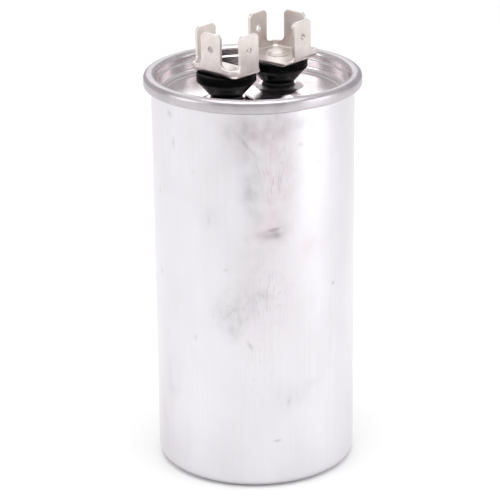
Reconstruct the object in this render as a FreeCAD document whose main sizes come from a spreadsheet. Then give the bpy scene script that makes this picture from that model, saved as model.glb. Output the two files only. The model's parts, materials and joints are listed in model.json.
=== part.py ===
import FreeCAD, Part
import math
import os
import re

import Sketcher
from FreeCAD import Vector

# Motor run capacitor in a round drawn can. Millimetres, +Z up.
# The origin is the centre of the can's flat bottom, and the two posts
# stand on one line through the can's axis.

SIZES = {
    # can and folded seam
    "can_radius": 25.0,
    "can_wall": 0.5,
    "can_corner": 2.5,
    "seam_top": 101.0,
    "lid_sheet": 0.5,
    "seam_gap": 0.12,
    "seam_height": 3.1,
    "seam_crest": 0.58,
    "neck_depth": 0.1,
    "neck_rise": 0.6,
    "skirt_round": 0.6,
    "compound_height": 0.58,
    "hook_clearance": 0.23,
    # lid panel
    "lid_depth": 5.5,
    "panel_margin": 0.35,
    "panel_step": 0.25,
    "lid_corner": 1.1,
    "wall_step": 0.38,
    "wall_step_depth": 2.7,
    "boss_height": 1.0,
    "boss_margin": 0.5,
    "boss_slope": 1.3,
    "blank_boss_x": 8.9,
    "blank_boss_y": -5.6,
    "blank_boss_height": 1.4,
    "blank_boss_top_radius": 2.2,
    "blank_boss_base_radius": 3.9,
    # posts
    "post_gap": 3.1,
    "post_angle": 44.0,
    "gasket_inset": 0.6,
    "gasket_thickness": 0.5,
    "insulator_foot_radius": 4.1,
    "insulator_radius": 7.3,
    "insulator_cone_height": 3.6,
    "insulator_band_height": 2.1,
    "insulator_round": 0.4,
    "bushing_collar_wall": 0.8,
    "bushing_collar_drop": 0.2,
    "bushing_flange_lip": 1.1,
    "bushing_flange_drop": 0.5,
    "fit_clearance": 0.1,
    # rivets
    "rivet_radius": 1.5,
    "rivet_head_lip": 1.1,
    "rivet_head_height": 0.5,
    "rivet_head_edge": 0.2,
    "rivet_foot_lip": 0.8,
    "rivet_foot_height": 0.7,
    # terminals
    "tab_sheet": 0.8,
    "tab_width": 6.35,
    "tab_height": 9.6,
    "tab_chamfer": 0.8,
    "tab_hole_radius": 0.85,
    "tab_hole_drop": 4.0,
    "bend_inner_radius": 0.6,
    "corner_inner_radius": 1.2,
    "web_rise": 0.8,
    "middle_flare": 1.6,
    "side_flare": 1.2,
    "open_flare": 1.2,
    "front_middle_margin": 0.2,
    "front_right_margin": 1.65,
    "front_left_margin": 2.325,
    "front_open_margin": 0.425,
    "rear_middle_margin": 1.825,
    "rear_right_margin": 2.225,
    "rear_left_margin": 1.375,
    "rear_open_margin": 3.225,
    "front_turn": 226.5,
    "rear_turn": 50.0,
    # solder lugs and leads
    "lug_sheet": 0.6,
    "lug_ring_width": 1.4,
    "lug_tail_margin": 0.8,
    "lead_radius": 0.6,
    "lead_bend": 1.5,
    "lead_core_gap": 0.95,
    "lead_foot_lap": 1.95,
    "lead_foot_clearance": 0.8,
    "lead_lid_gap": 0.1,
    # winding and what holds it
    "head_space": 10.0,
    "core_bore_radius": 3.8,
    "core_wall": 1.2,
    "spray_thickness": 0.8,
    "wrap_thickness": 0.3,
    "cup_wall": 0.6,
    "cup_height": 12.0,
    "cup_clearance": 0.15,
    "can_clearance": 0.45,
    "spacer_margin": 2.55,
    "spacer_clearance": 0.3,
    "disc_thickness": 1.5,
    "disc_hole_margin": 1.0,
}

# two lengths closer than this are the same length
TOLERANCE = 1e-4

doc = FreeCAD.newDocument("capacitor")
sheet = doc.addObject("Spreadsheet::Sheet", "Sizes")
for row, (alias, size) in enumerate(SIZES.items(), start=1):
    sheet.set("A%d" % row, alias)
    sheet.set("B%d" % row, str(size))
    sheet.setAlias("B%d" % row, alias)
doc.recompute()

# Levels and radii that follow from the sheet, as formulas of its aliases.

BORE = "(can_radius - can_wall)"
CAN_TOP = "(seam_top - lid_sheet - seam_gap)"
FOLD_UNDER = "(%s - can_wall)" % CAN_TOP
COVER_HOOK_INNER = "(can_radius + seam_gap)"
BODY_HOOK_INNER = "(%s + lid_sheet + seam_gap)" % COVER_HOOK_INNER
SKIRT_INNER = "(%s + can_wall + seam_gap)" % BODY_HOOK_INNER
SKIRT_OUTER = "(%s + lid_sheet)" % SKIRT_INNER
SEAM_BOTTOM = "(seam_top - seam_height)"
NECK_RADIUS = "(can_radius - neck_depth)"
NECK_UNDER = "(%s - neck_rise)" % SEAM_BOTTOM
COVER_HOOK_TOP = "(%s - compound_height)" % FOLD_UNDER
BODY_HOOK_UNDER = "(%s + lid_sheet + hook_clearance)" % SEAM_BOTTOM
CHUCK_OUTER = "(%s - seam_gap)" % BORE
CHUCK_INNER = "(%s - lid_sheet)" % CHUCK_OUTER
LOW_WALL = "(%s - wall_step)" % CHUCK_INNER
STEP_LEVEL = "(seam_top - wall_step_depth)"
SEAM_ROUND = "((%s - %s - seam_crest) / 2)" % (SKIRT_OUTER, CHUCK_INNER)
FOLD_ROUND = "(%s - lid_sheet - seam_gap)" % SEAM_ROUND
PANEL_RADIUS = "(%s - lid_corner - panel_margin - panel_step)" % LOW_WALL

PANEL_TOP = "(seam_top - lid_depth)"
PANEL_UNDER = "(%s - lid_sheet)" % PANEL_TOP
BOSS_TOP = "(%s + boss_height)" % PANEL_TOP
BOSS_UNDER = "(%s - lid_sheet)" % BOSS_TOP
INSULATOR_FOOT = "(%s + gasket_thickness)" % BOSS_TOP
CONE_TOP = "(%s + insulator_cone_height)" % INSULATOR_FOOT
INSULATOR_TOP = "(%s + insulator_band_height)" % CONE_TOP
PLATE_TOP = "(%s + tab_sheet)" % INSULATOR_TOP
TAB_TIP = "(%s + tab_height)" % PLATE_TOP
RIVET_TOP = "(%s + rivet_head_height)" % PLATE_TOP
BUSHING_UNDER = "(%s - bushing_flange_drop)" % PANEL_UNDER
LUG_UNDER = "(%s - lug_sheet)" % BUSHING_UNDER
RIVET_UNDER = "(%s - rivet_foot_height)" % LUG_UNDER
RIVET_HOLE = "(rivet_radius + fit_clearance)"
COLLAR_RADIUS = "(%s + bushing_collar_wall)" % RIVET_HOLE
COLLAR_HOLE = "(%s + fit_clearance)" % COLLAR_RADIUS
FLANGE_RADIUS = "(%s + bushing_flange_lip)" % COLLAR_RADIUS
BOSS_TOP_RADIUS = "(%s + boss_margin + lid_sheet)" % FLANGE_RADIUS
BOSS_BASE_RADIUS = "(%s + boss_slope)" % BOSS_TOP_RADIUS
GASKET_RADIUS = "(%s - gasket_inset)" % BOSS_TOP_RADIUS

FLOOR = "can_wall"
CUP_FLOOR = "(%s + cup_wall)" % FLOOR
SPRAY_UNDER = "(%s + 2 * lead_radius + lead_foot_clearance)" % CUP_FLOOR
WINDING_UNDER = "(%s + spray_thickness)" % SPRAY_UNDER
STACK_TOP = "(%s - head_space)" % PANEL_UNDER
DISC_UNDER = "(%s - disc_thickness)" % STACK_TOP
WINDING_TOP = "(%s - spray_thickness)" % DISC_UNDER
CORE_RADIUS = "(core_bore_radius + core_wall)"
CUP_RADIUS = "(%s - can_clearance)" % BORE
CUP_BORE = "(%s - cup_wall)" % CUP_RADIUS
WRAP_RADIUS = "(%s - cup_clearance)" % CUP_BORE
WINDING_RADIUS = "(%s - wrap_thickness)" % WRAP_RADIUS
CUP_CORNER = "(can_corner - can_wall)"
LEAD_HOLE = "(lead_radius + fit_clearance)"
LEAD_TOP = "(%s - lead_lid_gap)" % PANEL_UNDER
LEAD_OFFSET = "(core_bore_radius - lead_radius - lead_core_gap)"
FOOT_REACH = "(%s + lead_foot_lap)" % CORE_RADIUS

BEND = "(tab_sheet + bend_inner_radius)"
TO_MIDDLE_TAB = "tab_width / 2 + side_flare + tab_sheet"
TO_SIDE_TAB = "tab_width / 2 + middle_flare + tab_sheet"

POST_REACH = "(insulator_radius + post_gap / 2)"
LUG_REACH = "(%s - %s)" % (POST_REACH, LEAD_OFFSET)
LUG_TAIL = "(%s + lug_tail_margin)" % LEAD_HOLE
POST_X = "(%s * cos(post_angle))" % POST_REACH
POST_Y = "(%s * sin(post_angle))" % POST_REACH
POSTS = {
    "front": {
        "x": "(-%s)" % POST_X,
        "y": "(-%s)" % POST_Y,
        "turn": "front_turn",
        "middle": "(%s + front_middle_margin)" % TO_MIDDLE_TAB,
        "right": "(%s + front_right_margin)" % TO_SIDE_TAB,
        "left": "(%s + front_left_margin)" % TO_SIDE_TAB,
        "open": "(tab_width / 2 + front_open_margin)",
        "lug": "post_angle",
    },
    "rear": {
        "x": POST_X,
        "y": POST_Y,
        "turn": "rear_turn",
        "middle": "(%s + rear_middle_margin)" % TO_MIDDLE_TAB,
        "right": "(%s + rear_right_margin)" % TO_SIDE_TAB,
        "left": "(%s + rear_left_margin)" % TO_SIDE_TAB,
        "open": "(tab_width / 2 + rear_open_margin)",
        "lug": "(post_angle - 90)",
    },
}


def formula(text):
    # each alias in the text is read from the sheet
    def from_sheet(word):
        name = word.group(0)
        return "Sizes." + name if name in SIZES else name
    return re.sub(r"[a-z_]\w*", from_sheet, text)


def number(text):
    return float(sheet.evalExpression(text))


def new_body(name):
    body = doc.addObject("PartDesign::Body", "Body_" + name)
    body.Label = name
    return body


def origin_plane(body, role):
    return next(item for item in body.Origin.OriginFeatures if item.Role == role)


def new_sketch(body, role, offset="0"):
    sketch = body.newObject("Sketcher::SketchObject", body.Label + "_sketch")
    sketch.AttachmentSupport = [(origin_plane(body, role), "")]
    sketch.MapMode = "FlatFace"
    sketch.setExpression("AttachmentOffset.Base.z", formula(offset))
    doc.recompute()
    return sketch


def bind(sketch, constraint, text):
    index = sketch.addConstraint(constraint)
    sketch.setExpression("Constraints[%d]" % index, formula(text))


def add_circle(sketch, radius, x="0", y="0"):
    centre = Vector(number(x), number(y), 0)
    circle = sketch.addGeometry(Part.Circle(centre, Vector(0, 0, 1), number(radius)))
    bind(sketch, Sketcher.Constraint("DistanceX", circle, 3, centre.x), x)
    bind(sketch, Sketcher.Constraint("DistanceY", circle, 3, centre.y), y)
    bind(sketch, Sketcher.Constraint("Radius", circle, number(radius)), radius)


class Corner:
    # one corner of an outline, sharp or rounded by an arc that touches both sides
    def __init__(self, texts, before, after):
        self.texts = texts
        self.point = Vector(number(texts[0]), number(texts[1]), 0)
        self.radius = number(texts[2]) if len(texts) > 2 else 0
        self.into = self.out = self.point
        if self.radius:
            way_in = (self.point - before).normalize()
            way_out = (after - self.point).normalize()
            turn = way_in.getAngle(way_out)
            cut = self.radius * math.tan(turn / 2)
            self.left = way_in.cross(way_out).z > 0
            side = 1 if self.left else -1
            self.into = self.point - way_in * cut
            self.out = self.point + way_out * cut
            self.centre = self.into + Vector(-way_in.y, way_in.x, 0) * side * self.radius

    def arc(self):
        start = self.into - self.centre
        end = self.out - self.centre
        angles = [math.atan2(start.y, start.x), math.atan2(end.y, end.x)]
        if not self.left:
            angles.reverse()
        return Part.ArcOfCircle(Part.Circle(self.centre, Vector(0, 0, 1), self.radius), *angles)


def add_outline(sketch, points):
    # a closed outline from corners (x, y) or (x, y, radius), each text a formula
    places = [Vector(number(texts[0]), number(texts[1]), 0) for texts in points]
    count = len(points)
    corners = [Corner(points[i], places[i - 1], places[(i + 1) % count]) for i in range(count)]
    lines = [sketch.addGeometry(Part.LineSegment(corners[i].out, corners[(i + 1) % count].into))
             for i in range(count)]
    for i, corner in enumerate(corners):
        before = lines[i - 1]
        after = lines[i]
        held = after
        if corner.radius:
            arc = sketch.addGeometry(corner.arc())
            first, last = (1, 2) if corner.left else (2, 1)
            sketch.addConstraint(Sketcher.Constraint("Tangent", before, 2, arc, first))
            sketch.addConstraint(Sketcher.Constraint("Tangent", arc, last, after, 1))
            bind(sketch, Sketcher.Constraint("Radius", arc, corner.radius), corner.texts[2])
            held = sketch.addGeometry(Part.Point(corner.point), True)
            sketch.addConstraint(Sketcher.Constraint("PointOnObject", held, 1, before))
            sketch.addConstraint(Sketcher.Constraint("PointOnObject", held, 1, after))
        else:
            sketch.addConstraint(Sketcher.Constraint("Coincident", before, 2, after, 1))
        bind(sketch, Sketcher.Constraint("DistanceX", held, 1, corner.point.x), corner.texts[0])
        bind(sketch, Sketcher.Constraint("DistanceY", held, 1, corner.point.y), corner.texts[1])


def turn_section(body, points):
    # a solid of revolution about the body's own Z axis
    sketch = new_sketch(body, "XZ_Plane")
    add_outline(sketch, points)
    feature = body.newObject("PartDesign::Revolution", body.Label + "_turned")
    feature.Profile = sketch
    feature.ReferenceAxis = (sketch, ["V_Axis"])
    feature.Angle = 360
    doc.recompute()
    return feature


def pad(body, sketch, length):
    feature = body.newObject("PartDesign::Pad", body.Label + "_pad")
    feature.Profile = sketch
    feature.setExpression("Length", formula(length))
    doc.recompute()
    return feature


def pocket(body, sketch, both_ways=False, away=False):
    # cuts through everything on one side of the sketch, or on both
    before = body.Shape.Volume
    feature = body.newObject("PartDesign::Pocket", body.Label + "_pocket")
    feature.Profile = sketch
    feature.Type = "ThroughAll"
    feature.Midplane = both_ways
    feature.Reversed = away
    doc.recompute()
    if body.Shape.Volume >= before:
        raise RuntimeError(body.Label + ": a pocket cut nothing")
    return feature


def dress(body, kind, base, names, size_name, size):
    feature = body.newObject("PartDesign::" + kind, body.Label + "_" + kind.lower())
    feature.Base = (base, names)
    feature.setExpression(size_name, formula(size))
    doc.recompute()
    return feature


def edges_where(feature, test):
    return ["Edge%d" % (i + 1) for i, edge in enumerate(feature.Shape.Edges) if test(edge)]


def near(one, other):
    return abs(one - other) < TOLERANCE


def place(body, x="0", y="0", turn="0"):
    body.setExpression("Placement.Base.x", formula(x))
    body.setExpression("Placement.Base.y", formula(y))
    body.setExpression("Placement.Rotation.Angle", formula(turn))


def make_can():
    # the wall is pressed in a little where the seam grips it
    body = new_body("can")
    turn_section(body, [
        ("0", "0"),
        ("can_radius", "0", "can_corner"),
        ("can_radius", NECK_UNDER),
        (NECK_RADIUS, SEAM_BOTTOM),
        (NECK_RADIUS, FOLD_UNDER),
        (BODY_HOOK_INNER, FOLD_UNDER),
        (BODY_HOOK_INNER, BODY_HOOK_UNDER),
        (BODY_HOOK_INNER + " + can_wall", BODY_HOOK_UNDER),
        (BODY_HOOK_INNER + " + can_wall", CAN_TOP, FOLD_ROUND),
        (BORE, CAN_TOP, FOLD_ROUND),
        (BORE, "can_wall", "can_corner - can_wall"),
        ("0", "can_wall"),
    ])
    return body


def make_lid_sheet():
    body = new_body("lid_sheet_turned")
    turn_section(body, [
        ("0", PANEL_TOP),
        (PANEL_RADIUS, PANEL_TOP),
        (PANEL_RADIUS + " + panel_step", PANEL_TOP + " + panel_step"),
        (LOW_WALL, PANEL_TOP + " + panel_step", "lid_corner"),
        (LOW_WALL, STEP_LEVEL),
        (CHUCK_INNER, STEP_LEVEL + " + wall_step"),
        (CHUCK_INNER, "seam_top", SEAM_ROUND),
        (SKIRT_OUTER, "seam_top", SEAM_ROUND),
        (SKIRT_OUTER, SEAM_BOTTOM, "skirt_round"),
        (COVER_HOOK_INNER, SEAM_BOTTOM, "skirt_round"),
        (COVER_HOOK_INNER, COVER_HOOK_TOP),
        (COVER_HOOK_INNER + " + lid_sheet", COVER_HOOK_TOP),
        (COVER_HOOK_INNER + " + lid_sheet", SEAM_BOTTOM + " + lid_sheet"),
        (SKIRT_INNER, SEAM_BOTTOM + " + lid_sheet"),
        (SKIRT_INNER, "seam_top - lid_sheet", SEAM_ROUND + " - lid_sheet"),
        (CHUCK_OUTER, "seam_top - lid_sheet", SEAM_ROUND + " - lid_sheet"),
        (CHUCK_OUTER, STEP_LEVEL + " + wall_step"),
        (LOW_WALL + " + lid_sheet", STEP_LEVEL),
        (LOW_WALL + " + lid_sheet", PANEL_UNDER + " + panel_step", "lid_corner + lid_sheet"),
        (PANEL_RADIUS + " + panel_step", PANEL_UNDER + " + panel_step"),
        (PANEL_RADIUS, PANEL_UNDER),
        ("0", PANEL_UNDER),
    ])
    return body


def make_cone(name, x, y, level, low_radius, high_radius, height):
    cone = doc.addObject("Part::Cone", name)
    cone.setExpression("Radius1", formula(low_radius))
    cone.setExpression("Radius2", formula(high_radius))
    cone.setExpression("Height", formula(height))
    cone.setExpression("Placement.Base.x", formula(x))
    cone.setExpression("Placement.Base.y", formula(y))
    cone.setExpression("Placement.Base.z", formula(level))
    return cone


def make_boss(name, x, y, height, low_radius, high_radius):
    # a boss pressed up from the panel: what it adds above, what it takes away below
    outside = make_cone(name + "_outside", x, y, PANEL_UNDER, low_radius, high_radius,
                        height + " + lid_sheet")
    inside = make_cone(name + "_inside", x, y, PANEL_UNDER, low_radius + " - lid_sheet",
                       high_radius + " - lid_sheet", height)
    return outside, inside


def make_lid():
    turned = make_lid_sheet()
    bosses = [make_boss(side + "_boss", post["x"], post["y"], "boss_height",
                        BOSS_BASE_RADIUS, BOSS_TOP_RADIUS)
              for side, post in POSTS.items()]
    bosses.append(make_boss("blank_boss", "blank_boss_x", "blank_boss_y", "blank_boss_height",
                            "blank_boss_base_radius", "blank_boss_top_radius"))
    holes = [make_cone(side + "_post_hole", post["x"], post["y"], PANEL_UNDER, COLLAR_HOLE,
                       COLLAR_HOLE, "boss_height + lid_sheet + gasket_thickness")
             for side, post in POSTS.items()]
    raised = doc.addObject("Part::MultiFuse", "raised_panel")
    raised.Shapes = [turned] + [outside for outside, inside in bosses]
    taken = doc.addObject("Part::MultiFuse", "taken_from_panel")
    taken.Shapes = [inside for outside, inside in bosses] + holes
    lid = doc.addObject("Part::Cut", "Cut_lid")
    lid.Base = raised
    lid.Tool = taken
    lid.Label = "lid"
    return lid


def make_ring(name, inner, outer, low, high, x="0", y="0"):
    body = new_body(name)
    turn_section(body, [(inner, low), (outer, low), (outer, high), (inner, high)])
    place(body, x, y)
    return body


def make_seam_compound():
    return make_ring("seam_compound", NECK_RADIUS, BODY_HOOK_INNER, COVER_HOOK_TOP, FOLD_UNDER)


def make_insulator(side):
    body = new_body("insulator_" + side)
    turn_section(body, [
        (RIVET_HOLE, INSULATOR_FOOT),
        ("insulator_foot_radius", INSULATOR_FOOT),
        ("insulator_radius", CONE_TOP, "insulator_round"),
        ("insulator_radius", INSULATOR_TOP, "insulator_round"),
        (RIVET_HOLE, INSULATOR_TOP),
    ])
    place(body, POSTS[side]["x"], POSTS[side]["y"])
    return body


def make_gasket(side):
    return make_ring("gasket_" + side, COLLAR_HOLE, GASKET_RADIUS, BOSS_TOP, INSULATOR_FOOT,
                     POSTS[side]["x"], POSTS[side]["y"])


def make_bushing(side):
    # a flange under the lid, and a collar that lines the hole in the lid
    body = new_body("bushing_" + side)
    turn_section(body, [
        (RIVET_HOLE, BUSHING_UNDER),
        (FLANGE_RADIUS, BUSHING_UNDER),
        (FLANGE_RADIUS, BOSS_UNDER),
        (COLLAR_RADIUS, BOSS_UNDER),
        (COLLAR_RADIUS, INSULATOR_FOOT + " - bushing_collar_drop"),
        (RIVET_HOLE, INSULATOR_FOOT + " - bushing_collar_drop"),
    ])
    place(body, POSTS[side]["x"], POSTS[side]["y"])
    return body


def make_rivet(side):
    body = new_body("rivet_" + side)
    turn_section(body, [
        ("0", RIVET_UNDER),
        ("rivet_radius + rivet_foot_lip", RIVET_UNDER),
        ("rivet_radius + rivet_foot_lip", LUG_UNDER),
        ("rivet_radius", LUG_UNDER),
        ("rivet_radius", PLATE_TOP),
        ("rivet_radius + rivet_head_lip", PLATE_TOP),
        ("rivet_radius + rivet_head_lip", RIVET_TOP, "rivet_head_height - rivet_head_edge"),
        ("0", RIVET_TOP),
    ])
    place(body, POSTS[side]["x"], POSTS[side]["y"])
    return body


def make_terminal(side):
    # one sheet folded up on three sides into tabs, with a low wall round its two
    # closed corners; the fourth side is open; +X of the body is the middle tab's side
    body = new_body("terminal_" + side)
    post = POSTS[side]
    half_tab = "tab_width / 2"
    web_level = "%s + %s + web_rise" % (INSULATOR_TOP, BEND)
    corner = "tab_sheet + corner_inner_radius"
    above = TAB_TIP + " + tab_sheet"

    sketch = new_sketch(body, "XY_Plane", INSULATOR_TOP)
    add_outline(sketch, [
        ("-" + post["open"], "-" + post["right"]),
        (post["middle"], "-" + post["right"], corner),
        (post["middle"], post["left"], corner),
        ("-" + post["open"], post["left"]),
    ])
    blank = pad(body, sketch, "tab_sheet + tab_height")

    low = number(INSULATOR_TOP)
    high = number(TAB_TIP)
    open_x = -number(post["open"])
    folds = edges_where(blank, lambda edge: near(edge.BoundBox.ZMax, low)
                        and not near(edge.BoundBox.XMax, open_x))
    folded = dress(body, "Fillet", blank, folds, "Radius", BEND)

    faces = [(i, face.BoundBox) for i, face in enumerate(folded.Shape.Faces, start=1)]
    open_faces = ["Face%d" % i for i, box in faces if near(box.ZMin, high) or near(box.XMax, open_x)]
    hollow = body.newObject("PartDesign::Thickness", body.Label + "_sheet")
    hollow.Base = (folded, open_faces)
    hollow.setExpression("Value", formula("tab_sheet"))
    hollow.Reversed = True
    doc.recompute()

    # what stands beside the middle tab
    sketch = new_sketch(body, "YZ_Plane", half_tab + " + side_flare")
    for sign, hand in (("-", "right"), ("", "left")):
        beyond = "%s(%s + tab_sheet)" % (sign, post[hand])
        add_outline(sketch, [
            (beyond, web_level),
            (sign + "(" + half_tab + ")", web_level, "middle_flare"),
            (sign + "(" + half_tab + ")", above),
            (beyond, above),
        ])
    pocket(body, sketch, away=True)

    # what stands beside the two side tabs, closed corners and open side
    for sign, away in (("-", True), ("", False)):
        sketch = new_sketch(body, "XZ_Plane", sign + "(" + half_tab + " + middle_flare)")
        add_outline(sketch, [
            (half_tab, above),
            (half_tab, web_level, "side_flare"),
            (post["middle"] + " + tab_sheet", web_level),
            (post["middle"] + " + tab_sheet", above),
        ])
        add_outline(sketch, [
            ("-" + half_tab, above),
            ("-" + half_tab, PLATE_TOP, "open_flare"),
            ("-(" + post["open"] + " + tab_sheet)", PLATE_TOP),
            ("-(" + post["open"] + " + tab_sheet)", above),
        ])
        pocket(body, sketch, away=not away)

    # holes in the tabs and for the rivet
    hole_level = TAB_TIP + " - tab_hole_drop"
    sketch = new_sketch(body, "XZ_Plane")
    add_circle(sketch, "tab_hole_radius", "0", hole_level)
    pocket(body, sketch, both_ways=True)
    sketch = new_sketch(body, "YZ_Plane")
    add_circle(sketch, "tab_hole_radius", "0", hole_level)
    pocket(body, sketch, away=True)
    sketch = new_sketch(body, "XY_Plane")
    add_circle(sketch, RIVET_HOLE)
    last = pocket(body, sketch, both_ways=True)

    # tips of the tabs
    thick = number("tab_sheet")
    tips = edges_where(last, lambda edge: near(edge.BoundBox.ZMin, high) and near(edge.Length, thick))
    dress(body, "Chamfer", last, tips, "Size", "tab_chamfer")
    place(body, post["x"], post["y"], post["turn"])
    return body


def make_lug(side):
    # ring under the bushing and a tail with the lead's hole; +X of the body is the tail
    body = new_body("lug_" + side)
    sketch = new_sketch(body, "XY_Plane", LUG_UNDER)
    add_circle(sketch, RIVET_HOLE + " + lug_ring_width")
    pad(body, sketch, "lug_sheet")
    sketch = new_sketch(body, "XY_Plane", LUG_UNDER)
    add_outline(sketch, [
        ("0", "-" + LUG_TAIL),
        (LUG_REACH, "-" + LUG_TAIL),
        (LUG_REACH, LUG_TAIL),
        ("0", LUG_TAIL),
    ])
    pad(body, sketch, "lug_sheet")
    sketch = new_sketch(body, "XY_Plane", LUG_UNDER)
    add_circle(sketch, LUG_TAIL, LUG_REACH)
    pad(body, sketch, "lug_sheet")
    sketch = new_sketch(body, "XY_Plane")
    add_circle(sketch, RIVET_HOLE)
    add_circle(sketch, LEAD_HOLE, LUG_REACH)
    pocket(body, sketch, both_ways=True)
    place(body, POSTS[side]["x"], POSTS[side]["y"], POSTS[side]["lug"])
    return body


def lead_place(side):
    post = POSTS[side]
    x = "(%s + %s * cos(%s))" % (post["x"], LUG_REACH, post["lug"])
    y = "(%s + %s * sin(%s))" % (post["y"], LUG_REACH, post["lug"])
    return x, y


def make_rear_lead():
    # straight down from its lug to the upper end spray
    body = new_body("lead_rear")
    sketch = new_sketch(body, "XY_Plane", DISC_UNDER)
    add_circle(sketch, "lead_radius")
    pad(body, sketch, "%s - %s" % (LEAD_TOP, DISC_UNDER))
    place(body, *lead_place("rear"))
    return body


def make_front_lead():
    # down the core tube and out under the lower end spray
    lead = doc.addObject("Part::Feature", "lead_front")
    radius = number("lead_radius")
    bend = number("lead_bend")
    top = Vector(0, 0, number(LEAD_TOP))
    foot_level = number(SPRAY_UNDER) - radius
    half_bend = math.radians(45)
    bend_start = Vector(0, 0, foot_level + bend)
    bend_middle = Vector(bend * (1 - math.cos(half_bend)), 0,
                         foot_level + bend * (1 - math.sin(half_bend)))
    bend_end = Vector(bend, 0, foot_level)
    foot_end = Vector(number(FOOT_REACH + " - " + LEAD_OFFSET), 0, foot_level)
    path = Part.Wire([
        Part.LineSegment(top, bend_start).toShape(),
        Part.Arc(bend_start, bend_middle, bend_end).toShape(),
        Part.LineSegment(bend_end, foot_end).toShape(),
    ])
    section = Part.Wire([Part.Circle(top, Vector(0, 0, 1), radius).toShape()])
    lead.Shape = path.makePipeShell([section], True, True)
    x, y = lead_place("front")
    turn = FreeCAD.Rotation(Vector(0, 0, 1), number("post_angle + 180"))
    lead.Placement = FreeCAD.Placement(Vector(number(x), number(y), 0), turn)
    return lead


def make_top_disc():
    body = make_ring("top_disc", "core_bore_radius", WRAP_RADIUS, DISC_UNDER, STACK_TOP)
    sketch = new_sketch(body, "XY_Plane")
    add_circle(sketch, "lead_radius + disc_hole_margin", *lead_place("rear"))
    pocket(body, sketch, away=True)
    return body


def make_bottom_cup():
    body = new_body("bottom_cup")
    turn_section(body, [
        ("0", FLOOR),
        (CUP_RADIUS, FLOOR, CUP_CORNER),
        (CUP_RADIUS, FLOOR + " + cup_height"),
        (CUP_BORE, FLOOR + " + cup_height"),
        (CUP_BORE, CUP_FLOOR, CUP_CORNER + " - cup_wall"),
        ("0", CUP_FLOOR),
    ])
    return body


def make_bottom_spacer():
    outer = "%s - %s + cup_wall - spacer_clearance" % (CUP_BORE, CUP_CORNER)
    return make_ring("bottom_spacer", FOOT_REACH + " + spacer_margin", outer, CUP_FLOOR, SPRAY_UNDER)


def make_winding_parts():
    return [
        make_ring("core_tube", "core_bore_radius", CORE_RADIUS, SPRAY_UNDER, DISC_UNDER),
        make_ring("film_winding", CORE_RADIUS, WINDING_RADIUS, WINDING_UNDER, WINDING_TOP),
        make_ring("end_spray_bottom", CORE_RADIUS, WINDING_RADIUS, SPRAY_UNDER, WINDING_UNDER),
        make_ring("end_spray_top", CORE_RADIUS, WINDING_RADIUS, WINDING_TOP, DISC_UNDER),
        make_ring("outer_wrap", WINDING_RADIUS, WRAP_RADIUS, SPRAY_UNDER, DISC_UNDER),
    ]


def check_all():
    for item in doc.Objects:
        if "Invalid" in item.State or "Error" in item.State:
            raise RuntimeError("not built: " + item.Name)


def write_step(node):
    shape = node.Shape
    if shape.isNull() or not shape.isValid() or len(shape.Solids) != 1:
        raise RuntimeError("not one sound solid: " + node.Label)
    shape.exportStep("parts/" + node.Label + ".step")
    box = shape.BoundBox
    print("%-18s volume %10.2f  z %7.2f to %7.2f" % (node.Label, shape.Volume, box.ZMin, box.ZMax))


nodes = [make_can(), make_lid(), make_seam_compound()]
for side in POSTS:
    nodes += [make_terminal(side), make_rivet(side), make_insulator(side),
              make_gasket(side), make_bushing(side), make_lug(side)]
nodes += [make_front_lead(), make_rear_lead(), make_top_disc()]
nodes += make_winding_parts()
nodes += [make_bottom_cup(), make_bottom_spacer()]

doc.recompute()
check_all()
os.makedirs("parts", exist_ok=True)
for node in nodes:
    write_step(node)
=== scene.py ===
import json
import math

import bpy
from mathutils import Matrix, Vector, noise


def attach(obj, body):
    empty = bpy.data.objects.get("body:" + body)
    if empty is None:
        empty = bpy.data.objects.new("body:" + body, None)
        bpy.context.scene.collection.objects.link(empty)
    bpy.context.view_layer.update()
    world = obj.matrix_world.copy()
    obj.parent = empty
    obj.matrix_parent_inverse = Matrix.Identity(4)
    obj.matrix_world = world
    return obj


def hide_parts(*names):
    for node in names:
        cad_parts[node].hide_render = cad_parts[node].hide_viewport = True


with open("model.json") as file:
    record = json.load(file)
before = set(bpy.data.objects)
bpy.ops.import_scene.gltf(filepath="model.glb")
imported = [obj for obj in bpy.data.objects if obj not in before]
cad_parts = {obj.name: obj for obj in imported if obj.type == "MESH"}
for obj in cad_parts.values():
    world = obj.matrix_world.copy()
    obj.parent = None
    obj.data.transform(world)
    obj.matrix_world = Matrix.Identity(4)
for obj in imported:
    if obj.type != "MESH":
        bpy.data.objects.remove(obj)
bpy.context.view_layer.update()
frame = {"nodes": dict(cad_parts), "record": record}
nodes = frame["nodes"]
mm = 0.001

# Motor run capacitor: a drawn aluminium can with a seamed lid and two black posts
# that carry folded push-on tabs. Sizes are in millimetres, colours are sRGB hex.


def toLinear(hexText):
    parts = [int(hexText[i:i + 2], 16) / 255 for i in (0, 2, 4)]
    return (*[p / 12.92 if p <= 0.04045 else ((p + 0.055) / 1.055) ** 2.4 for p in parts], 1.0)


def addNode(tree, kind, settings=None, inputs=None):
    # one node with its settings; an input is a value, a socket to link, or a node to link from
    node = tree.nodes.new(kind)
    for key, value in (settings or {}).items():
        setattr(node, key, value)
    for key, value in (inputs or {}).items():
        if isinstance(value, bpy.types.Node):
            value = next(output for output in value.outputs if output.enabled)
        if isinstance(value, bpy.types.NodeSocket):
            tree.links.new(value, node.inputs[key])
        else:
            node.inputs[key].default_value = value
    return node


def newMaterial(name):
    material = bpy.data.materials.new(name)
    material.use_nodes = True
    material.node_tree.nodes.clear()
    return material, material.node_tree


# shaping


def deselectAll():
    if bpy.context.object and bpy.context.object.mode != "OBJECT":
        bpy.ops.object.mode_set(mode="OBJECT")
    bpy.ops.object.select_all(action="DESELECT")


def makeActive(piece):
    deselectAll()
    piece.select_set(True)
    bpy.context.view_layer.objects.active = piece


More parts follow.
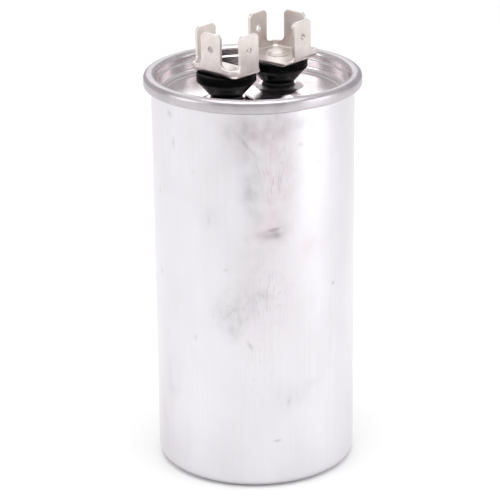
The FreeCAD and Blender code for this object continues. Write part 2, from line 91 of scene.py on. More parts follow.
def roundCorners(corners, steps):
    # the section's corners (radius, level[, round]), each rounded one turned into a short arc
    points = []
    for i, corner in enumerate(corners):
        here = Vector(corner[:2])
        if len(corner) < 3:
            points.append(tuple(here))
            continue
        wayIn = (here - Vector(corners[i - 1][:2])).normalized()
        wayOut = (Vector(corners[i + 1][:2]) - here).normalized()
        turn = wayIn.angle(wayOut)
        cut = corner[2] * math.tan(turn / 2)
        side = 1 if wayIn.cross(wayOut) > 0 else -1
        centre = here - wayIn * cut + Vector((-wayIn.y, wayIn.x)) * side * corner[2]
        spoke = here - wayIn * cut - centre
        for step in range(steps + 1):
            points.append(tuple(centre + Matrix.Rotation(side * turn * step / steps, 2) @ spoke))
    return points


def turnPiece(name, section, around, centre=(0, 0)):
    # a circle at the section's first point, pulled ring by ring along the rest, both ends closed
    deselectAll()
    radius, level = section[0]
    bpy.ops.mesh.primitive_circle_add(vertices=around, radius=radius * mm,
                                      location=(centre[0] * mm, centre[1] * mm, level * mm))
    piece = bpy.context.object
    piece.name = name
    bpy.ops.object.transform_apply(location=True)
    bpy.ops.object.mode_set(mode="EDIT")
    bpy.ops.mesh.select_all(action="SELECT")
    for (fromRadius, fromLevel), (toRadius, toLevel) in zip(section, section[1:]):
        bpy.ops.mesh.extrude_region_move(TRANSFORM_OT_translate={"value": (0, 0, (toLevel - fromLevel) * mm)})
        grow = toRadius / fromRadius
        bpy.ops.transform.resize(value=(grow, grow, 1),
                                 center_override=(centre[0] * mm, centre[1] * mm, toLevel * mm))
    bpy.ops.mesh.select_all(action="SELECT")
    bpy.ops.mesh.remove_doubles(threshold=0.0005 * mm)
    bpy.ops.mesh.select_all(action="DESELECT")
    bpy.ops.mesh.select_non_manifold()
    bpy.ops.mesh.fill_holes(sides=0)
    bpy.ops.mesh.select_all(action="SELECT")
    bpy.ops.mesh.normals_make_consistent(inside=False)
    bpy.ops.object.mode_set(mode="OBJECT")
    return piece


def smooth(piece, degrees=35):
    makeActive(piece)
    bpy.ops.object.shade_smooth_by_angle(angle=math.radians(degrees))


def finishPiece(piece, material, slotName, *replaced):
    piece.data.materials.clear()
    piece.data.materials.append(material)
    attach(piece, "root")
    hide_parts(*replaced)
    print(piece.name, "has", len(piece.data.polygons), "faces")


# can: drawn in one piece from a slug, pressed in a little under the seam, scuffed in handling

can = {
    "radius": 25.0, "wall": 0.5, "corner": 2.5, "top": 100.38, "hookInner": 25.74, "hookUnder": 98.63,
    "neck": 24.9, "neckTop": 97.9, "neckRise": 0.6, "foldRound": 0.45, "around": 300, "wallRings": 150,
    "neckRound": 0.3, "hub": 0.5,          # the turned section starts and ends on a small hub that is then filled
    "wave": 0.05, "waveLength": 26.0, "waveFade": 12.0,    # how far the wall strays from a true cylinder
    "colourLow": "DAD7DB", "colourHigh": "E6E4E8",
    # the pink haze colour also paints a reflection on the wall's middle; the grey rub colour also paints shade under
    # the seam
    "hazeAndPaintedReflection": "CDB5BD", "rubsAndPaintedShade": "9A9A9D", "line": "8C878D", "nick": "6E696C",
    "roughLow": 0.26, "roughHigh": 0.36,
    "drawLine": 0.9, "hazeSize": 14.0, "scuffLine": 2.4, "rubSize": 3.5,
    "wanderSize": 5.0, "markWander": 5.0, "nickWander": 1.4,       # how unevenly the marks are outlined
}
# dents in the wall: turn from the camera's side in degrees, level, half width, half height, depth
canDents = [
    (10, 68, 5.0, 2.2, 0.22), (0, 80, 4.5, 14.0, 0.10), (12, 90, 7.0, 7.0, 0.08), (-12, 48, 8.0, 6.0, 0.07),
    (-40, 60, 9.0, 20.0, 0.05), (155, 40, 8.0, 9.0, 0.10), (-120, 75, 6.0, 5.0, 0.08), (95, 22, 7.0, 6.0, 0.07),
]
# marks on the wall: kind, turn in degrees, level, half width, half height, lean in degrees, strength. The large pink
# haze marks about the middle are partly painted reflection; the grey marks just under the seam are painted shade.
canMarks = [
    ("hazeAndPaintedReflection", 5, 93, 13, 8, 0, 0.65), ("hazeAndPaintedReflection", 12, 78, 7, 15, 0, 0.55), ("hazeAndPaintedReflection", 8, 67, 7, 6, 0, 0.45),
    ("hazeAndPaintedReflection", 33, 62, 6, 4, 0, 0.3), ("hazeAndPaintedReflection", -65, 15, 4, 22, 0, 0.3), ("hazeAndPaintedReflection", 5, 50, 10, 20, 0, 0.25),
    # the grey marks at levels 94 and 95, just under the seam, are painted shade
    ("rubsAndPaintedShade", 4, 94, 12, 5, 0, 0.7), ("rubsAndPaintedShade", -8, 90, 7, 8, -20, 0.35), ("rubsAndPaintedShade", -2, 79, 4, 11, 5, 0.8),
    ("rubsAndPaintedShade", -3, 62, 8, 14, 0, 0.2), ("rubsAndPaintedShade", 12, 68, 5, 3, 20, 0.45), ("rubsAndPaintedShade", -9, 49, 10, 7, 25, 0.5),
    ("rubsAndPaintedShade", -14, 43, 5, 5, 0, 0.5), ("rubsAndPaintedShade", 18, 24, 5, 6, 0, 0.3), ("rubsAndPaintedShade", 33, 27, 6, 9, -20, 0.3),
    ("rubsAndPaintedShade", -57, 24, 4, 9, 0, 0.3), ("rubsAndPaintedShade", 30, 95, 9, 3, 0, 0.3), ("rubsAndPaintedShade", -24, 71, 4, 5, 0, 0.25),
    ("scuff", 10, 84, 7, 16, 0, 1.0), ("scuff", 9, 53, 7, 12, 0, 0.7), ("scuff", -10, 48, 9, 7, 30, 0.8),
    ("scuff", 2, 32, 8, 14, 0, 0.35), ("scuff", 160, 60, 9, 25, 0, 0.8), ("scuff", -100, 60, 9, 20, 0, 0.6),
    ("nick", -4, 90, 0.8, 5.5, 39, 0.7), ("nick", 11, 68.6, 2.6, 0.7, 12, 1.2), ("nick", 12, 67.4, 1.6, 1.6, 0, 0.7),
    ("nick", 50, 51.5, 0.8, 0.8, 0, 0.9), ("nick", 12, 13, 1.5, 0.6, 8, 0.8), ("nick", -3, 38.5, 0.9, 2.2, 25, 0.7),
    ("nick", -53, 95, 1.5, 1.7, 20, 0.6), ("nick", -50, 88, 0.9, 2.2, 0, 0.6), ("nick", -35, 82, 1.2, 0.7, 0, 0.4),
    ("nick", -66, 53, 1.3, 1.2, 0, 0.5), ("nick", -25, 70, 0.8, 1.8, 0, 0.4), ("nick", -36, 39, 0.8, 1.6, 0, 0.5),
    ("nick", 19, 23, 0.9, 2.4, -10, 0.5), ("nick", 27, 89, 1.2, 0.7, 10, 0.6), ("nick", 38, 84, 0.9, 1.8, 0, 0.4),
    ("nick", -16, 58, 1.6, 0.7, 25, 0.5), ("nick", -66, 74, 0.9, 1.6, 0, 0.5), ("nick", 150, 44, 1.8, 0.7, 20, 0.7),
    ("nick", -130, 70, 0.8, 1.6, 0, 0.6), ("nick", 100, 30, 1.2, 0.8, 0, 0.6), ("nick", -170, 20, 0.7, 2.0, 10, 0.6),
]


def makeCan():
    foldUnder = can["top"] - can["wall"]
    bore = can["radius"] - can["wall"]
    neckFoot = can["neckTop"] - can["neckRise"]
    rings = can["wallRings"]
    wallUp = [(can["radius"], can["corner"] + (neckFoot - can["corner"]) * i / rings) for i in range(1, rings)]
    section = roundCorners([
        (can["hub"], 0.0),
        (can["radius"] - can["corner"] - 4, 0.0),
        (can["radius"], 0.0, can["corner"]),
        *wallUp,
        (can["radius"], neckFoot, can["neckRound"]),
        (can["neck"], can["neckTop"], can["neckRound"]),
        (can["neck"], foldUnder),
        (can["hookInner"], foldUnder),
        (can["hookInner"], can["hookUnder"]),
        (can["hookInner"] + can["wall"], can["hookUnder"]),
        (can["hookInner"] + can["wall"], can["top"], can["foldRound"]),
        (can["neck"] - can["wall"], can["top"], can["foldRound"]),
        (can["neck"] - can["wall"], can["neckTop"], can["neckRound"]),
        (bore, neckFoot, can["neckRound"]),
        (bore, can["wall"], can["corner"] - can["wall"]),
        (can["hub"], can["wall"]),
    ], 8)
    piece = turnPiece("canShell", section, can["around"])
    for vertex in piece.data.vertices:
        x, y, level = (value / mm for value in vertex.co)
        reach = math.hypot(x, y)
        if abs(reach - can["radius"]) > 0.05:
            continue
        # the wave dies out towards the bottom corner and the neck, a dent only towards the neck
        overCorner = max(0, level - can["corner"])
        underNeck = max(0, neckFoot - 1 - level)
        fade = min(1, overCorner / can["waveFade"], underNeck / can["waveFade"])
        place = Vector((x, y, level * 0.5)) / can["waveLength"]
        push = noise.noise(place, noise_basis="PERLIN_ORIGINAL") * can["wave"] * fade
        turn = math.atan2(x, -y)
        for middle, height, halfWidth, halfHeight, depth in canDents:
            aside = (turn - math.radians(middle) + math.pi) % (2 * math.pi) - math.pi
            far = math.hypot(aside * can["radius"] / halfWidth, (level - height) / halfHeight)
            if far < 1:
                push -= depth * (1 - far * far) ** 2 * min(1, underNeck / 4)
        vertex.co.x += x / reach * push * mm
        vertex.co.y += y / reach * push * mm
    smooth(piece)
    return piece


def drawnAluminium():
    # Drawn aluminium, not anodised: a bright satin metal whose fine draw lines run up the wall.
    # Handling has left a pink haze, grey rubs, fine wavy lines and a few nicks. Part of the pink haze, on the middle of
    # the wall that faces the camera, is painted reflection, and the grey marks just under the seam are painted shade.
    material, tree = newMaterial("drawnAluminium")
    place = addNode(tree, "ShaderNodeTexCoord").outputs["Object"]
    parts = addNode(tree, "ShaderNodeSeparateXYZ", inputs={"Vector": place})
    front = addNode(tree, "ShaderNodeMath", {"operation": "MULTIPLY"}, {0: parts.outputs["Y"], 1: -1.0})
    turn = addNode(tree, "ShaderNodeMath", {"operation": "ARCTAN2"}, {0: parts.outputs["X"], 1: front})
    along = addNode(tree, "ShaderNodeMath", {"operation": "MULTIPLY"}, {0: turn, 1: can["radius"]})
    height = addNode(tree, "ShaderNodeMath", {"operation": "MULTIPLY"}, {0: parts.outputs["Z"], 1: 1 / mm})
    wall = addNode(tree, "ShaderNodeCombineXYZ", inputs={"X": along, "Y": height})   # unrolled, in millimetres
    # the marks' outlines wander by a millimetre or so
    wander = addNode(tree, "ShaderNodeTexNoise", inputs={
        "Vector": place, "Scale": 1 / (can["wanderSize"] * mm), "Detail": 4.0})
    offset = addNode(tree, "ShaderNodeVectorMath", {"operation": "SUBTRACT"},
                     {0: wander.outputs["Color"], 1: (0.5, 0.5, 0.5)})
    marked = addNode(tree, "ShaderNodeVectorMath", {"operation": "MULTIPLY_ADD"}, {
        0: offset, 1: (can["markWander"], can["markWander"], 0), 2: wall})
    nicked = addNode(tree, "ShaderNodeVectorMath", {"operation": "MULTIPLY_ADD"}, {
        0: offset, 1: (can["nickWander"], can["nickWander"], 0), 2: wall})
    marks = dict.fromkeys(("hazeAndPaintedReflection", "rubsAndPaintedShade", "scuff", "nick"), 0.0)
    for kind, middle, level, halfWidth, halfHeight, lean, strength in canMarks:
        spot = addNode(tree, "ShaderNodeMapping", {"vector_type": "TEXTURE"}, {
            "Vector": nicked if kind == "nick" else marked, "Rotation": (0, 0, math.radians(lean)),
            "Location": (math.radians(middle) * can["radius"], level, 0), "Scale": (halfWidth, halfHeight, 1)})
        fade = addNode(tree, "ShaderNodeTexGradient", {"gradient_type": "SPHERICAL"}, {"Vector": spot})
        marks[kind] = addNode(tree, "ShaderNodeMath", {"operation": "MULTIPLY_ADD"},
                              {0: fade.outputs["Fac"], 1: strength, 2: marks[kind]})

    drawStretch = addNode(tree, "ShaderNodeMapping", inputs={"Vector": place, "Scale": (1, 1, 0.02)})
    drawLines = addNode(tree, "ShaderNodeTexNoise", inputs={
        "Vector": drawStretch, "Scale": 1 / (can["drawLine"] * mm), "Detail": 4.0})
    hazeStretch = addNode(tree, "ShaderNodeMapping", inputs={"Vector": place, "Scale": (1, 1, 0.6)})
    haze = addNode(tree, "ShaderNodeTexNoise", inputs={
        "Vector": hazeStretch, "Scale": 1 / (can["hazeSize"] * mm), "Detail": 3.0})
    rubs = addNode(tree, "ShaderNodeTexNoise", inputs={
        "Vector": place, "Scale": 1 / (can["rubSize"] * mm), "Detail": 6.0})
    # fine wavy lines, drawn about a millimetre apart so that they show: the contours of a long noise
    lineStretch = addNode(tree, "ShaderNodeMapping", inputs={"Vector": place, "Scale": (1, 1, 0.16)})
    longNoise = addNode(tree, "ShaderNodeTexNoise", inputs={
        "Vector": lineStretch, "Scale": 1 / (can["scuffLine"] * mm), "Detail": 2.0, "Distortion": 0.3})
    manyTimes = addNode(tree, "ShaderNodeMath", {"operation": "MULTIPLY"}, {0: longNoise, 1: 8.0})
    contours = addNode(tree, "ShaderNodeMath", {"operation": "PINGPONG"}, {0: manyTimes, 1: 0.5})

    clean = addNode(tree, "ShaderNodeMapRange", inputs={"Value": haze, "From Min": 0.2, "From Max": 0.8})
    colour = addNode(tree, "ShaderNodeMix", {"data_type": "RGBA"}, {
        0: clean, 6: toLinear(can["colourLow"]), 7: toLinear(can["colourHigh"])})
    streak = addNode(tree, "ShaderNodeMapRange", inputs={
        "Value": drawLines, "From Min": 0.45, "From Max": 0.8, "To Max": 0.05})
    colour = addNode(tree, "ShaderNodeMix", {"data_type": "RGBA"}, {0: streak, 6: colour, 7: toLinear(can["line"])})
    patchy = addNode(tree, "ShaderNodeMapRange", inputs={
        "Value": rubs, "From Min": 0.35, "From Max": 0.65, "To Min": 0.35, "To Max": 1.0})
    # pink haze, partly painted reflection: the middle of the wall, which faces the camera, is made pinker and darker
    hazeAndPaintedReflection = addNode(tree, "ShaderNodeMath", {"operation": "MULTIPLY", "use_clamp": True}, {
        0: marks["hazeAndPaintedReflection"], 1: patchy})
    colour = addNode(tree, "ShaderNodeMix", {"data_type": "RGBA"}, {0: hazeAndPaintedReflection, 6: colour, 7: toLinear(can["hazeAndPaintedReflection"])})
    # grey rubs, partly painted shade: darker just under the seam and on the wall's middle
    rubsAndPaintedShade = addNode(tree, "ShaderNodeMath", {"operation": "MULTIPLY"}, {0: marks["rubsAndPaintedShade"], 1: patchy})
    rubsAndPaintedShade = addNode(tree, "ShaderNodeMath", {"operation": "MULTIPLY", "use_clamp": True}, {0: rubsAndPaintedShade, 1: 0.55})
    colour = addNode(tree, "ShaderNodeMix", {"data_type": "RGBA"}, {0: rubsAndPaintedShade, 6: colour, 7: toLinear(can["rubsAndPaintedShade"])})
    thin = addNode(tree, "ShaderNodeMapRange", {"interpolation_type": "SMOOTHSTEP"}, {
        "Value": contours, "From Min": 0.0, "From Max": 0.14, "To Min": 1.0, "To Max": 0.0})
    scuff = addNode(tree, "ShaderNodeMath", {"operation": "MULTIPLY", "use_clamp": True}, {0: marks["scuff"], 1: thin})
    scuffColour = addNode(tree, "ShaderNodeMath", {"operation": "MULTIPLY"}, {0: scuff, 1: 0.28})
    colour = addNode(tree, "ShaderNodeMix", {"data_type": "RGBA"}, {
        0: scuffColour, 6: colour, 7: toLinear(can["line"])})
    nick = addNode(tree, "ShaderNodeMapRange", {"interpolation_type": "SMOOTHSTEP"}, {
        "Value": marks["nick"], "From Min": 0.0, "From Max": 1.0})
    nickColour = addNode(tree, "ShaderNodeMath", {"operation": "MULTIPLY"}, {0: nick, 1: 0.4})
    colour = addNode(tree, "ShaderNodeMix", {"data_type": "RGBA"}, {0: nickColour, 6: colour, 7: toLinear(can["nick"])})

    rough = addNode(tree, "ShaderNodeMapRange", inputs={
        "Value": haze, "From Min": 0.2, "From Max": 0.8, "To Min": can["roughLow"], "To Max": can["roughHigh"]})
    rough = addNode(tree, "ShaderNodeMath", {"operation": "MULTIPLY_ADD"}, {0: rubsAndPaintedShade, 1: 0.25, 2: rough})
    rough = addNode(tree, "ShaderNodeMath", {"operation": "MULTIPLY_ADD", "use_clamp": True}, {
        0: scuff, 1: 0.12, 2: rough})

    lines = addNode(tree, "ShaderNodeBump", inputs={"Height": drawLines, "Distance": 0.003 * mm, "Strength": 0.4})
    scraped = addNode(tree, "ShaderNodeBump", {"invert": True}, {
        "Height": scuff, "Distance": 0.02 * mm, "Strength": 0.5, "Normal": lines})
    struck = addNode(tree, "ShaderNodeBump", {"invert": True}, {
        "Height": nick, "Distance": 0.1 * mm, "Strength": 0.35, "Normal": scraped})
    shader = addNode(tree, "ShaderNodeBsdfPrincipled", inputs={
        "Base Color": colour, "Metallic": 1.0, "Roughness": rough, "Normal": struck})
    addNode(tree, "ShaderNodeOutputMaterial", inputs={"Surface": shader})
    return material


# lid: pressed tinplate, folded over the can's edge in a double seam

lid = {
    "seamTop": 101.0, "seamUnder": 97.9, "skirtOuter": 26.86, "skirtInner": 26.36, "hookInner": 25.12,
    "hookTop": 99.3, "sheet": 0.5, "seamRound": 1.2, "skirtRound": 0.6,
    "chuckOuter": 24.38, "chuckInner": 23.88, "lowWall": 23.5, "stepLevel": 98.3, "wallStep": 0.38,
    "panelTop": 95.5, "panelRadius": 21.8, "panelStep": 0.25, "corner": 1.1, "around": 256, "panelRings": 84,
    "colourLow": "DDD6D8", "colourHigh": "EAE4E6", "dull": "B2AAAC", "roughLow": 0.14, "roughHigh": 0.24,
    # the rim colours are a darker copy of the tinplate: painted shade
    "rimPaintedShadeLow": "B5AEB3", "rimPaintedShadeHigh": "C8C2C7", "rolledFrom": 23.6, "rolledTo": 24.8, "rolledRough": 0.14,
    "seamLine": 0.14, "hazeSize": 8.0, "speck": 0.9, "waveSize": 11.0, "waveDepth": 0.2,
}
# raised bosses of the panel: centre, height, radius of the flat top and of the foot
bosses = [
    {"x": -6.366, "y": -6.148, "height": 1.0, "top": 4.4, "foot": 6.5},
    {"x": 6.366, "y": 6.148, "height": 1.0, "top": 4.4, "foot": 6.5},
    {"x": 8.9, "y": -5.6, "height": 1.4, "top": 0.4, "foot": 3.9},
]


def bossRise(x, y):
    rise = 0
    for boss in bosses:
        reach = math.hypot(x - boss["x"], y - boss["y"])
        down = min(1, max(0, (reach - boss["top"]) / (boss["foot"] - boss["top"])))
        rise = max(rise, boss["height"] * (1 - down * down * (3 - 2 * down)))
    return rise


def makeLid():
    sheet = lid["sheet"]
    under = lid["panelTop"] - sheet
    rings = lid["panelRings"]
    panel = [lid["panelRadius"] * i / rings for i in range(1, rings)]
    section = roundCorners([
        *[(radius, lid["panelTop"]) for radius in panel],
        (lid["panelRadius"], lid["panelTop"], 0.25),
        (lid["panelRadius"] + lid["panelStep"], lid["panelTop"] + lid["panelStep"], 0.25),
        (lid["lowWall"], lid["panelTop"] + lid["panelStep"], lid["corner"]),
        (lid["lowWall"], lid["stepLevel"], 0.3),
        (lid["chuckInner"], lid["stepLevel"] + lid["wallStep"], 0.3),
        (lid["chuckInner"], lid["seamTop"], lid["seamRound"]),
        (lid["skirtOuter"], lid["seamTop"], lid["seamRound"]),
        (lid["skirtOuter"], lid["seamUnder"], lid["skirtRound"]),
        (lid["hookInner"], lid["seamUnder"], lid["skirtRound"]),
        (lid["hookInner"], lid["hookTop"]),
        (lid["hookInner"] + sheet, lid["hookTop"]),
        (lid["hookInner"] + sheet, lid["seamUnder"] + sheet),
        (lid["skirtInner"], lid["seamUnder"] + sheet),
        (lid["skirtInner"], lid["seamTop"] - sheet, lid["seamRound"] - sheet),
        (lid["chuckOuter"], lid["seamTop"] - sheet, lid["seamRound"] - sheet),
        (lid["chuckOuter"], lid["stepLevel"] + lid["wallStep"]),
        (lid["lowWall"] + sheet, lid["stepLevel"]),
        (lid["lowWall"] + sheet, under + lid["panelStep"], lid["corner"] + sheet),
        (lid["panelRadius"] + lid["panelStep"], under + lid["panelStep"]),
        *[(radius, under) for radius in reversed(panel)],
    ], 6)
    piece = turnPiece("lidSheet", section, lid["around"])
    for vertex in piece.data.vertices:
        if math.hypot(vertex.co.x, vertex.co.y) < lid["panelRadius"] * mm:
            vertex.co.z += bossRise(vertex.co.x / mm, vertex.co.y / mm) * mm
    smooth(piece)
    return piece


def pressedTinplate():
    # Tinplate: steel sheet with a bright tin skin. The seaming rolls leave the rim duller, with
    # fine rings round it, and the pressed panel waves a little, so what it mirrors wanders.
    material, tree = newMaterial("pressedTinplate")
    place = addNode(tree, "ShaderNodeTexCoord").outputs["Object"]
    parts = addNode(tree, "ShaderNodeSeparateXYZ", inputs={"Vector": place})
    flat = addNode(tree, "ShaderNodeCombineXYZ", inputs={"X": parts.outputs["X"], "Y": parts.outputs["Y"]})
    reach = addNode(tree, "ShaderNodeVectorMath", {"operation": "LENGTH"}, {0: flat}).outputs["Value"]
    turn = addNode(tree, "ShaderNodeMath", {"operation": "ARCTAN2"}, {0: parts.outputs["Y"], 1: parts.outputs["X"]})
    turnShort = addNode(tree, "ShaderNodeMath", {"operation": "MULTIPLY"}, {0: turn, 1: 1.2 * mm})
    rolled = addNode(tree, "ShaderNodeCombineXYZ", inputs={"X": reach, "Y": turnShort, "Z": parts.outputs["Z"]})
    seamLines = addNode(tree, "ShaderNodeTexNoise", inputs={
        "Vector": rolled, "Scale": 1 / (lid["seamLine"] * mm), "Detail": 3.0})
    haze = addNode(tree, "ShaderNodeTexNoise", inputs={
        "Vector": place, "Scale": 1 / (lid["hazeSize"] * mm), "Detail": 4.0, "Distortion": 0.8})
    specks = addNode(tree, "ShaderNodeTexNoise", inputs={
        "Vector": place, "Scale": 1 / (lid["speck"] * mm), "Detail": 5.0})
    waves = addNode(tree, "ShaderNodeTexNoise", inputs={
        "Vector": place, "Scale": 1 / (lid["waveSize"] * mm), "Detail": 1.0})
    clean = addNode(tree, "ShaderNodeMapRange", inputs={"Value": haze, "From Min": 0.3, "From Max": 0.7})
    colour = addNode(tree, "ShaderNodeMix", {"data_type": "RGBA"}, {
        0: clean, 6: toLinear(lid["colourLow"]), 7: toLinear(lid["colourHigh"])})
    # the rim's darker colour is painted shade; its extra roughness comes from the seaming rolls
    rimPaintedShadeColour = addNode(tree, "ShaderNodeMix", {"data_type": "RGBA"}, {
        0: clean, 6: toLinear(lid["rimPaintedShadeLow"]), 7: toLinear(lid["rimPaintedShadeHigh"])})
    rim = addNode(tree, "ShaderNodeMapRange", inputs={
        "Value": reach, "From Min": lid["rolledFrom"] * mm, "From Max": lid["rolledTo"] * mm})
    colour = addNode(tree, "ShaderNodeMix", {"data_type": "RGBA"}, {0: rim, 6: colour, 7: rimPaintedShadeColour})
    dull = addNode(tree, "ShaderNodeMapRange", inputs={
        "Value": specks, "From Min": 0.58, "From Max": 0.78, "To Max": 0.5})
    colour = addNode(tree, "ShaderNodeMix", {"data_type": "RGBA"}, {0: dull, 6: colour, 7: toLinear(lid["dull"])})
    rough = addNode(tree, "ShaderNodeMapRange", inputs={
        "Value": haze, "From Min": 0.3, "From Max": 0.7, "To Min": lid["roughLow"], "To Max": lid["roughHigh"]})
    brushed = addNode(tree, "ShaderNodeMapRange", inputs={
        "Value": seamLines, "From Min": 0.3, "From Max": 0.7, "To Min": -0.03, "To Max": 0.06})
    rough = addNode(tree, "ShaderNodeMath", {"operation": "ADD"}, {0: rough, 1: brushed})
    rough = addNode(tree, "ShaderNodeMath", {"operation": "MULTIPLY_ADD"}, {0: rim, 1: lid["rolledRough"], 2: rough})
    wavy = addNode(tree, "ShaderNodeBump", inputs={
        "Height": waves, "Distance": lid["waveDepth"] * mm, "Strength": 0.5})
    ringed = addNode(tree, "ShaderNodeBump", inputs={
        "Height": seamLines, "Distance": 0.005 * mm, "Strength": 0.6, "Normal": wavy})
    shader = addNode(tree, "ShaderNodeBsdfPrincipled", inputs={
        "Base Color": colour, "Metallic": 1.0, "Roughness": rough, "Normal": ringed})
    addNode(tree, "ShaderNodeOutputMaterial", inputs={"Surface": shader})
    return material


# posts: a moulded black cone with a band, then the folded terminal and its rivet

posts = {
    "front": {"x": -6.366, "y": -6.148},
    "rear": {"x": 6.366, "y": 6.148},
}
insulator = {
    "hole": 1.6, "foot": 4.1, "under": 97.0, "bandUnder": 100.6, "top": 102.7, "radius": 7.3,
    "round": 0.35, "lipDrop": 0.7, "lipDepth": 0.12, "around": 160,
    "colour": "050506", "dust": "2A2829", "dustSize": 0.35, "flowSize": 5.0, "roughLow": 0.16, "roughHigh": 0.26,
}


def makeInsulator(side):
    lipUnder = insulator["top"] - insulator["lipDrop"]
    narrow = insulator["radius"] - insulator["lipDepth"]
    section = roundCorners([
        (insulator["hole"], insulator["under"]),
        (insulator["foot"], insulator["under"], 0.2),
        (insulator["radius"], insulator["bandUnder"], insulator["round"]),
        (insulator["radius"], lipUnder - 0.12, 0.05),
        (narrow, lipUnder - 0.06, 0.05),
        (narrow, lipUnder + 0.06, 0.05),
        (insulator["radius"], lipUnder + 0.12, 0.05),
        (insulator["radius"], insulator["top"], insulator["round"]),
        (insulator["hole"], insulator["top"]),
        (insulator["hole"], insulator["under"]),
    ], 5)
    post = posts[side]
    piece = turnPiece("insulator" + side.title(), section, insulator["around"], (post["x"], post["y"]))
    smooth(piece)
    return piece


def mouldedPhenolic():
    # Phenolic moulding: deep glossy black that shows only small highlights, with a little dust.
    material, tree = newMaterial("mouldedPhenolic")
    place = addNode(tree, "ShaderNodeTexCoord").outputs["Object"]
    flow = addNode(tree, "ShaderNodeTexNoise", inputs={
        "Vector": place, "Scale": 1 / (insulator["flowSize"] * mm), "Detail": 3.0, "Distortion": 0.5})
    dust = addNode(tree, "ShaderNodeTexNoise", inputs={
        "Vector": place, "Scale": 1 / (insulator["dustSize"] * mm), "Detail": 5.0})
    dusty = addNode(tree, "ShaderNodeMapRange", inputs={
        "Value": dust, "From Min": 0.58, "From Max": 0.8, "To Max": 0.6})
    colour = addNode(tree, "ShaderNodeMix", {"data_type": "RGBA"}, {
        0: dusty, 6: toLinear(insulator["colour"]), 7: toLinear(insulator["dust"])})
    rough = addNode(tree, "ShaderNodeMapRange", inputs={
        "Value": flow, "From Min": 0.3, "From Max": 0.7, "To Min": insulator["roughLow"],
        "To Max": insulator["roughHigh"]})
    moulded = addNode(tree, "ShaderNodeBump", inputs={"Height": flow, "Distance": 0.1 * mm, "Strength": 0.35})
    shader = addNode(tree, "ShaderNodeBsdfPrincipled", inputs={
        "Base Color": colour, "Roughness": rough, "Specular IOR Level": 0.06, "Normal": moulded})
    addNode(tree, "ShaderNodeOutputMaterial", inputs={"Surface": shader})
    return material


terminal = {"edge": 0.08, "colourLow": "D8CFCB", "colourHigh": "E7E0DD", "line": "AFA29A", "roughLow": 0.34,
            "roughHigh": 0.44, "rollingLine": 0.3, "hazeSize": 4.0}


def makeTerminal(side):
    # the CAD sheet's own shape, with the sharp edges of the stamping broken
    source = nodes["terminal_" + side]
    piece = source.copy()
    piece.data = source.data.copy()
    piece.name = "terminal" + side.title()
    piece.parent = None
    bpy.context.collection.objects.link(piece)
    makeActive(piece)
    bpy.ops.object.mode_set(mode="EDIT")
    bpy.ops.mesh.select_all(action="SELECT")
    bpy.ops.mesh.remove_doubles(threshold=0.001 * mm)
    bpy.ops.mesh.normals_make_consistent(inside=False)
    bpy.ops.mesh.dissolve_limited(angle_limit=math.radians(0.5))
    bpy.ops.object.mode_set(mode="OBJECT")
    modifier = piece.modifiers.new("brokenEdge", "BEVEL")
    modifier.width = terminal["edge"] * mm
    modifier.segments = 2
    modifier.limit_method = "ANGLE"
    modifier.angle_limit = math.radians(50)
    bpy.ops.object.modifier_apply(modifier=modifier.name)
    smooth(piece, 40)
    modifier = piece.modifiers.new("flatFaces", "WEIGHTED_NORMAL")     # keeps the flat faces flat
    modifier.keep_sharp = True
    bpy.ops.object.modifier_apply(modifier=modifier.name)
    return piece


def tinnedBrass():
    # Brass sheet, hot tinned: a light warm silver with a satin face and few rolling lines.
    material, tree = newMaterial("tinnedBrass")
    place = addNode(tree, "ShaderNodeTexCoord").outputs["Object"]
    stretch = addNode(tree, "ShaderNodeMapping", inputs={"Vector": place, "Scale": (1, 1, 0.08)})
    rolling = addNode(tree, "ShaderNodeTexNoise", inputs={
        "Vector": stretch, "Scale": 1 / (terminal["rollingLine"] * mm), "Detail": 3.0})
    haze = addNode(tree, "ShaderNodeTexNoise", inputs={
        "Vector": place, "Scale": 1 / (terminal["hazeSize"] * mm), "Detail": 4.0, "Distortion": 0.5})
    clean = addNode(tree, "ShaderNodeMapRange", inputs={"Value": haze, "From Min": 0.3, "From Max": 0.7})
    colour = addNode(tree, "ShaderNodeMix", {"data_type": "RGBA"}, {
        0: clean, 6: toLinear(terminal["colourLow"]), 7: toLinear(terminal["colourHigh"])})
    lined = addNode(tree, "ShaderNodeMapRange", inputs={
        "Value": rolling, "From Min": 0.55, "From Max": 0.8, "To Max": 0.25})
    colour = addNode(tree, "ShaderNodeMix", {"data_type": "RGBA"}, {0: lined, 6: colour, 7: toLinear(terminal["line"])})
    rough = addNode(tree, "ShaderNodeMapRange", inputs={
        "Value": haze, "From Min": 0.3, "From Max": 0.7, "To Min": terminal["roughLow"],
        "To Max": terminal["roughHigh"]})
    dimpled = addNode(tree, "ShaderNodeBump", inputs={"Height": haze, "Distance": 0.05 * mm, "Strength": 0.4})
    rolled = addNode(tree, "ShaderNodeBump", inputs={
        "Height": rolling, "Distance": 0.002 * mm, "Strength": 0.5, "Normal": dimpled})
    shader = addNode(tree, "ShaderNodeBsdfPrincipled", inputs={
        "Base Color": colour, "Metallic": 1.0, "Roughness": rough, "Normal": rolled})
    addNode(tree, "ShaderNodeOutputMaterial", inputs={"Surface": shader})
    return material


rivet = {"radius": 1.5, "head": 2.6, "plateTop": 103.5, "edge": 0.18, "top": 104.0, "domeRound": 2.5,
         "foot": 2.3, "footUnder": 93.2, "lugUnder": 93.9, "around": 96}


